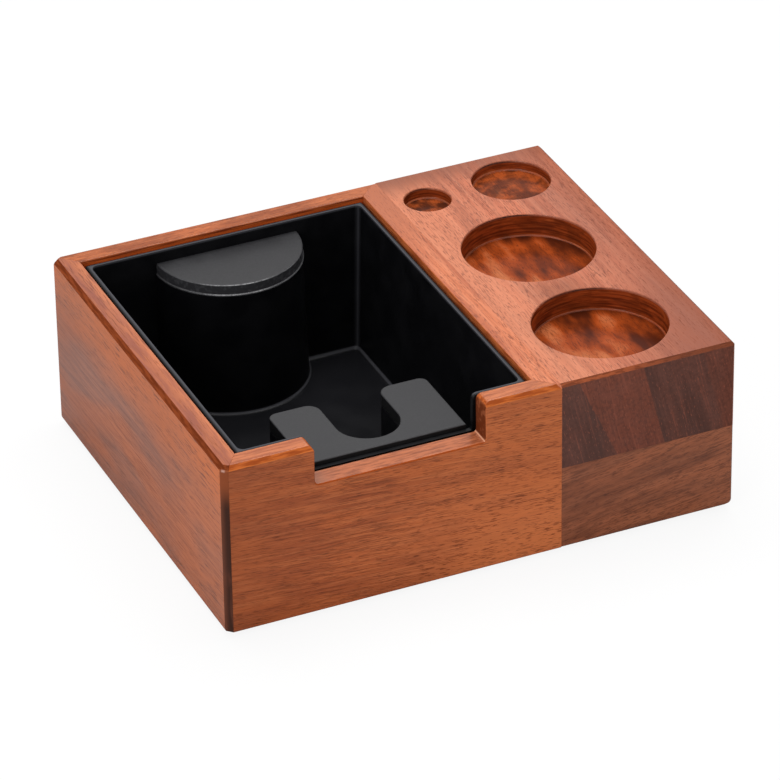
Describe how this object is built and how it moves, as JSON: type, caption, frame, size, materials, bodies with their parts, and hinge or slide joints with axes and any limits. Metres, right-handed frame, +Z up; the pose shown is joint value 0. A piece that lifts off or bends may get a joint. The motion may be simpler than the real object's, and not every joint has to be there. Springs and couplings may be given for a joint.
{
  "type": "coffee station organizer",
  "caption": "Wooden coffee station organizer with a lift-out knock bin, a half-round knock post, a U-shaped portafilter rest and a tool block with round recesses.",
  "frame": {"origin": "on the table, under the middle of the box", "axes": "+X to the right, from the bin to the tool block; +Y to the back, away from the notch; +Z up"},
  "size_m": [0.24, 0.196, 0.0855],
  "materials": {
    "frame_wood": "satin lacquer over reddish-brown hardwood",
    "base_wood": "plain lacquered board",
    "block_wood_dark": "satin lacquer over dark reddish hardwood",
    "block_wood_light": "satin lacquer over medium brown hardwood",
    "bin_plastic": "black satin moulding",
    "cap_rubber": "dark grey matte rubber",
    "foot_rubber": "black matte rubber"
  },
  "bodies": {
    "box": {"front_board": "frame_wood", "left_board": "frame_wood", "back_board": "frame_wood", "inner_board": "frame_wood", "base_board": "base_wood", "tool_block_upper": "block_wood_dark", "tool_block_lower": "block_wood_light", "foot_front_left": "foot_rubber", "foot_front_right": "foot_rubber", "foot_back_left": "foot_rubber", "foot_back_right": "foot_rubber"},
    "bin": {"bin_liner": "bin_plastic"},
    "post_cap": {"knock_post_cap": "cap_rubber"},
    "rest_cap": {"portafilter_rest_cap": "cap_rubber"}
  },
  "joints": [
    {"name": "bin_lift", "type": "slide", "parent": "box", "child": "bin", "axis": [0, 0, 1], "range_m": [0, 0.09]},
    {"name": "post_cap_pull", "type": "slide", "parent": "bin", "child": "post_cap", "axis": [0, 0, 1], "range_m": [0, 0.035]},
    {"name": "rest_cap_pull", "type": "slide", "parent": "bin", "child": "rest_cap", "axis": [0, 0, 1], "range_m": [0, 0.035]}
  ]
}
